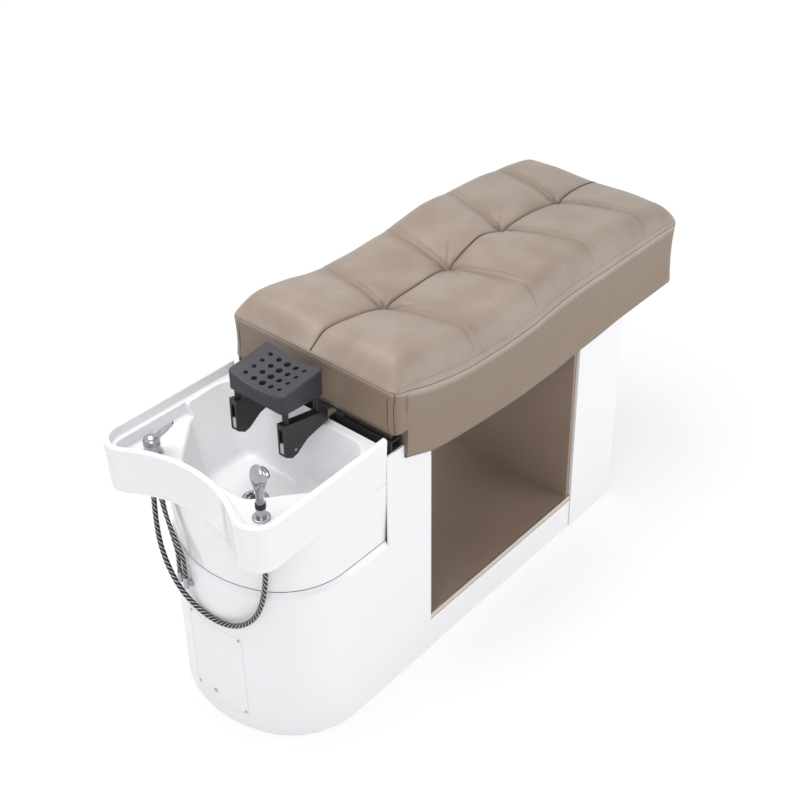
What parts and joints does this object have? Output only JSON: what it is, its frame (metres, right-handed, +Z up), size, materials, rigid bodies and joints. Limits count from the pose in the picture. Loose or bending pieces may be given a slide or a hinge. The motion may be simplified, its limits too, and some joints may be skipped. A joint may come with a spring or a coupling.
{
  "type": "hair washing bed",
  "caption": "Salon shampoo bed: a long wave-shaped tufted cushion over an open cubby and rear leg, with a gloss basin column, hand shower, mixer tap and perforated neck rest at the head.",
  "frame": {"origin": "on the floor, under the middle of the whole bed's outline", "axes": "+Y towards the foot end, basin at -Y; +X towards the near side in the picture; +Z up"},
  "size_m": [0.5654, 1.7597, 0.9933],
  "materials": {
    "white_shell": "glossy white lacquer",
    "basin": "high gloss",
    "cushion": "soft satin leather, stitched and tufted",
    "pad": "matt",
    "bracket": "satin black",
    "insert": "satin",
    "chrome": "polished",
    "dark_rubber": "matt",
    "braid": "fine steel braid over black rubber",
    "steel": "satin",
    "frame_steel": "black powder coat",
    "screw": "plain",
    "board": "taupe laminate",
    "wall": "taupe laminate",
    "edge": "satin anodised",
    "reveal": "matt black",
    "wood": "plain plywood and timber",
    "drain_plastic": "plain",
    "pipe_metal": "plain"
  },
  "bodies": {
    "root": {"column_shell": "white_shell", "service_panel": "white_shell", "panel_screws": "screw", "panel_latch": "screw", "basin": "basin", "basin_skirt": "basin", "basin_seal": "dark_rubber", "drain_flange": "chrome", "drain_nut": "drain_plastic", "bottle_trap": "drain_plastic", "waste_pipe": "drain_plastic", "mixer_base_ring": "chrome", "mixer_body": "chrome", "lock_nuts": "screw", "handset_holder": "chrome", "inlet_fittings": "pipe_metal", "supply_pipes": "pipe_metal", "shower_hose": "braid", "cold_hose": "braid", "hot_hose": "braid", "hose_ferrules": "steel", "neck_brackets": "bracket", "bracket_inserts": "insert", "bracket_screws": "screw", "neck_arms": "steel", "arm_plate": "steel", "head_crossbar": "frame_steel", "head_gasket": "dark_rubber", "levelling_feet": "dark_rubber", "frame_posts": "frame_steel", "seat_rails": "frame_steel", "frame_crossbars": "frame_steel", "head_brackets": "frame_steel", "base_rails": "frame_steel", "base_crossbars": "frame_steel", "cubby_floor": "board", "floor_edge_strips": "edge", "plinth_panels": "white_shell", "reveal_strips": "reveal", "plinth_blocks": "wood", "cubby_head_wall": "wall", "cubby_foot_wall": "wall", "cubby_ceiling": "wall", "leg_gap_strip": "reveal", "leg_side_panels": "white_shell", "leg_foot_panel": "white_shell", "panel_cleats": "wood", "cushion": "cushion", "seat_board": "wood", "bearers": "wood", "seat_bolts": "screw"},
    "mixer_head": {"mixer_dome": "chrome"},
    "mixer_handle": {"mixer_lever": "chrome"},
    "hand_shower": {"handset": "chrome", "handset_collar": "dark_rubber", "spray_face": "dark_rubber", "hose_in_guide": "braid"},
    "neck_rest": {"neck_pad": "pad", "neck_posts": "bracket"},
    "strainer": {"drain_strainer": "chrome"}
  },
  "joints": [
    {"name": "mixer_swivel", "type": "hinge", "parent": "root", "child": "mixer_head", "pos_m": [-0.188, -0.777, 0.787], "axis": [0, 0, 1], "range_deg": [-50, 50]},
    {"name": "mixer_lift", "type": "hinge", "parent": "mixer_head", "child": "mixer_handle", "pos_m": [-0.188, -0.777, 0.787], "axis": [0.6018, -0.7986, 0], "range_deg": [0, 20]},
    {"name": "handset_lift", "type": "slide", "parent": "root", "child": "hand_shower", "axis": [0, 0, 1], "range_m": [0, 0.1]},
    {"name": "neck_height", "type": "slide", "parent": "root", "child": "neck_rest", "axis": [0, 0, 1], "range_m": [-0.02, 0.015]},
    {"name": "strainer_lift", "type": "slide", "parent": "root", "child": "strainer", "axis": [0, 0, 1], "range_m": [0, 0.04]}
  ]
}
